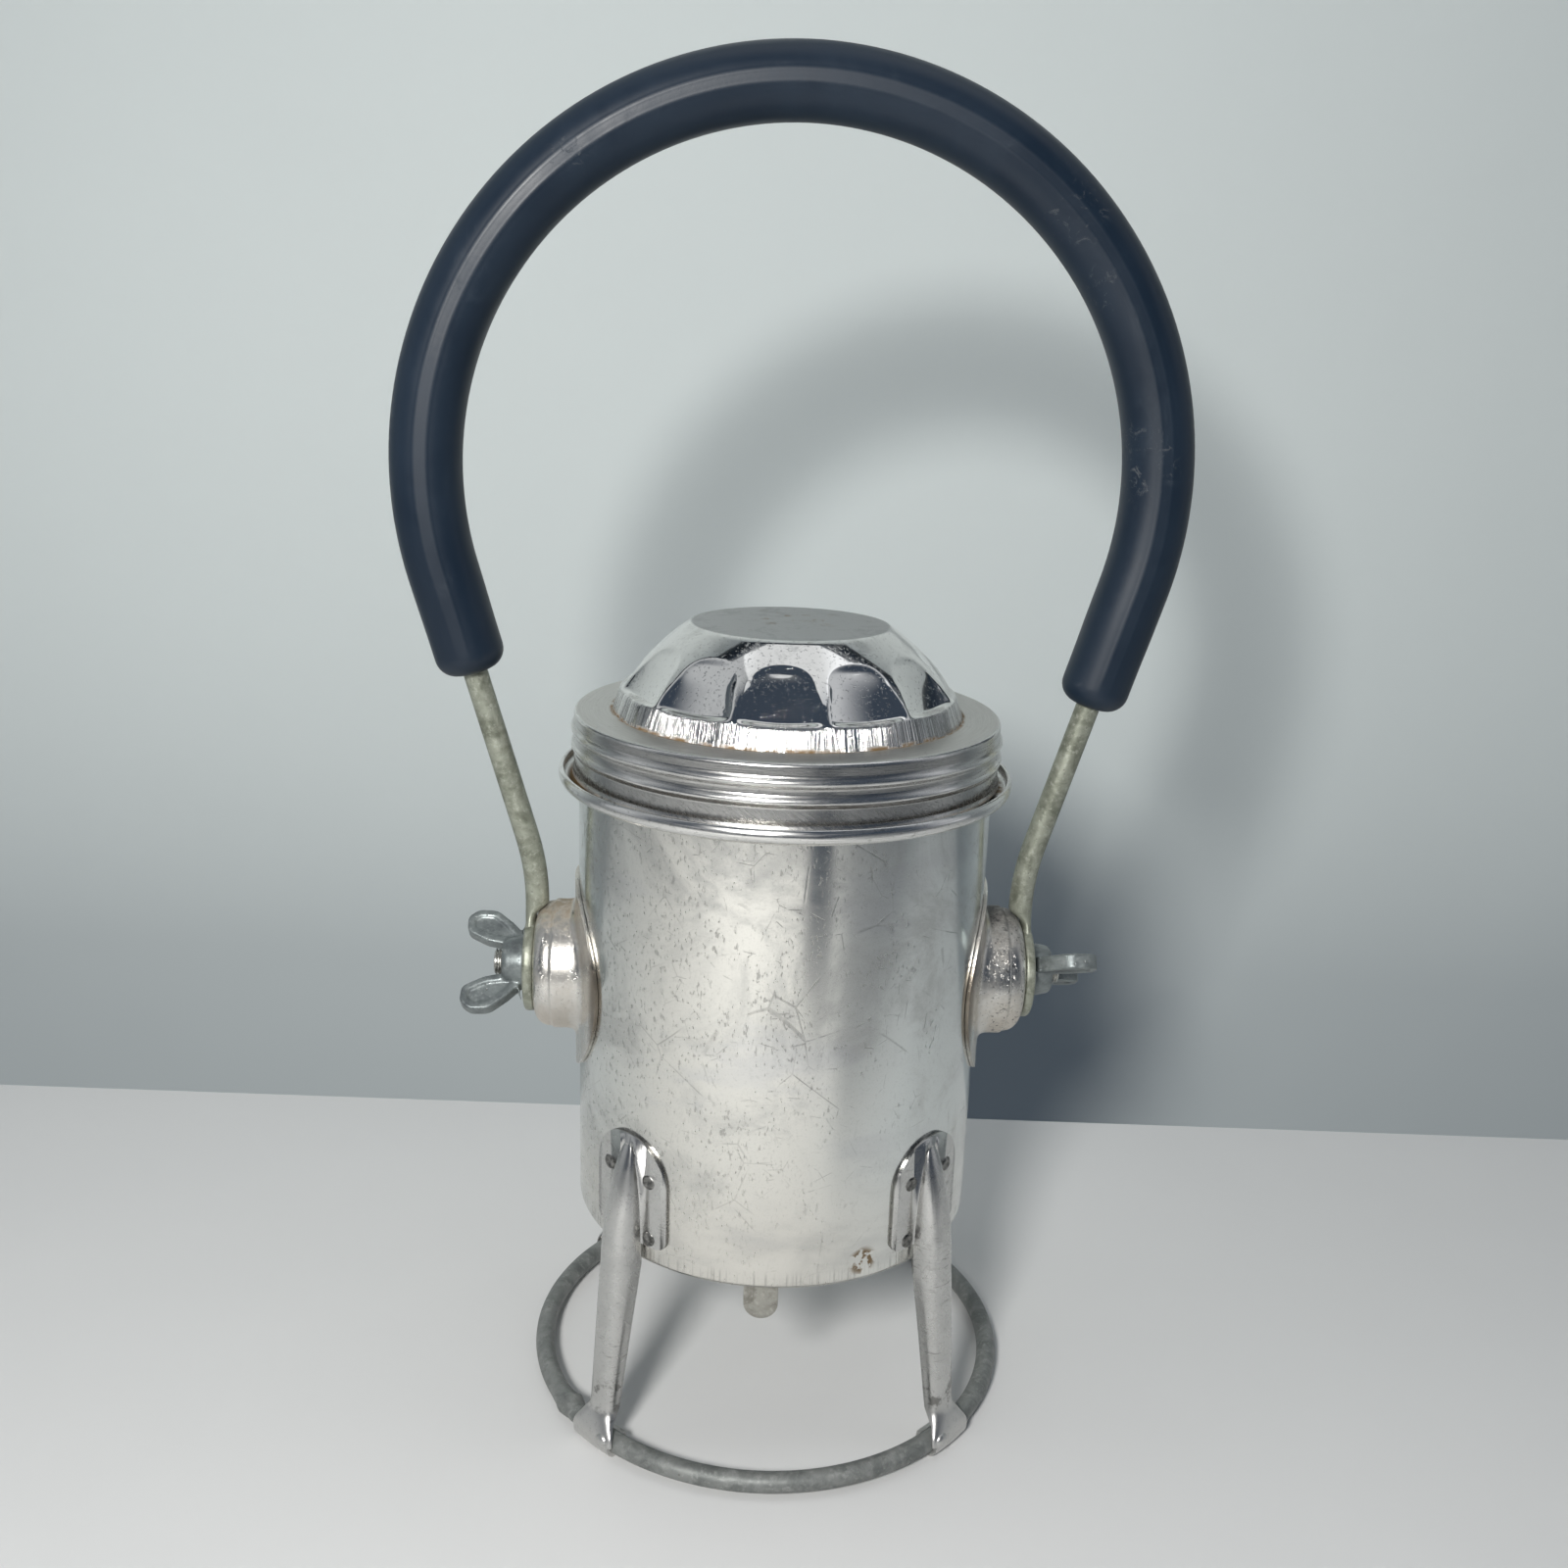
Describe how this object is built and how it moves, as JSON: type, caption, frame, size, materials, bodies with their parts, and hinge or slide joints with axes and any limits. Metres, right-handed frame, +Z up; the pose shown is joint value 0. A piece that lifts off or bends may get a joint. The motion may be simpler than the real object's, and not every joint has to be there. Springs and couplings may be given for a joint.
{
  "type": "railroad lantern",
  "caption": "Battery hand lantern: drawn metal body on a four-legged ring stand, screw cap with a fluted dome, tall wire bail with a rubber grip, bulbs and reflector facing down",
  "frame": {"origin": "On the floor under the axis of the body, at the centre of the ring stand", "axes": "+Z up; the bail pivots along X; the switch tab hangs toward -Y; metres"},
  "size_m": [0.1822, 0.1212, 0.3165],
  "materials": {
    "nickel_body": "worn nickel plate, mirror-like with fine pits and scratches",
    "cap_nickel": "nickel plate with concentric brushing and polished flutes",
    "tarnished_nickel": "dull nickel plate with brown stain",
    "nickel_legs": "nickel plate with tool marks across the channel",
    "galvanised_wire": "dull weathered zinc coating",
    "zinc_hardware": "dull zinc plate",
    "grip_rubber": "satin black rubber with grey scuffs and a moulding line",
    "gasket_rubber": "aged rubber",
    "bare_steel": "dull plated steel, speckled",
    "bright_reflector": "polished plated dish",
    "fibre_board": "vulcanised fibre board",
    "brass_contacts": "plain brass",
    "bulb_glass": "clear thin glass",
    "battery_jacket": "plain green paper jacket with satin varnish",
    "spring_steel": "tinned spring wire"
  },
  "bodies": {
    "lantern": {"body_shell": "nickel_body", "rim_collar": "nickel_body", "threaded_neck": "nickel_body", "bottom_pan": "bare_steel", "contact_board": "fibre_board", "battery_contacts": "brass_contacts", "bulb_contacts": "brass_contacts", "switch_rivet": "brass_contacts", "reflector": "bright_reflector", "bulb_sockets": "brass_contacts", "bulb_bases": "brass_contacts", "main_bulb_glass": "bulb_glass", "spare_bulb_glass": "bulb_glass", "bail_bracket_left": "tarnished_nickel", "bail_bracket_right": "tarnished_nickel", "pivot_stud_left": "zinc_hardware", "pivot_stud_right": "zinc_hardware", "leg_front_left": "nickel_legs", "leg_front_right": "nickel_legs", "leg_rear_left": "nickel_legs", "leg_rear_right": "nickel_legs", "base_ring": "galvanised_wire"},
    "bail": {"bail_wire": "galvanised_wire", "bail_grip": "grip_rubber"},
    "nut_left": {"wing_nut_left": "zinc_hardware"},
    "nut_right": {"wing_nut_right": "zinc_hardware"},
    "cap_seal": {"cap_gasket": "gasket_rubber"},
    "cap": {"screw_cap": "cap_nickel", "cap_dome": "cap_nickel"},
    "battery": {"battery_case": "battery_jacket", "battery_springs": "spring_steel"},
    "switch": {"switch_lever": "bare_steel"}
  },
  "joints": [
    {"name": "bail_swing", "type": "hinge", "parent": "lantern", "child": "bail", "pos_m": [0, 0, 0.1067], "axis": [1, 0, 0], "range_deg": [-118, 118]},
    {"name": "nut_turn_left", "type": "hinge", "parent": "lantern", "child": "nut_left", "pos_m": [-0.066, 0, 0.1067], "axis": [1, 0, 0], "continuous": true},
    {"name": "nut_turn_right", "type": "hinge", "parent": "lantern", "child": "nut_right", "pos_m": [0.066, 0, 0.1067], "axis": [1, 0, 0], "continuous": true},
    {"name": "cap_lift", "type": "slide", "parent": "lantern", "child": "cap_seal", "axis": [0, 0, 1], "range_m": [0, 0.095]},
    {"name": "cap_turn", "type": "hinge", "parent": "cap_seal", "child": "cap", "pos_m": [0, 0, 0.17], "axis": [0, 0, 1], "continuous": true},
    {"name": "battery_lift", "type": "slide", "parent": "lantern", "child": "battery", "axis": [0, 0, 1], "range_m": [0, 0.095]},
    {"name": "switch_turn", "type": "hinge", "parent": "lantern", "child": "switch", "pos_m": [0, 0, 0.065], "axis": [0, 0, 1], "range_deg": [-18, 18]}
  ],
  "couplings": [
    {"joint": "battery_lift", "follows": "cap_lift", "ratio": 1}
  ]
}
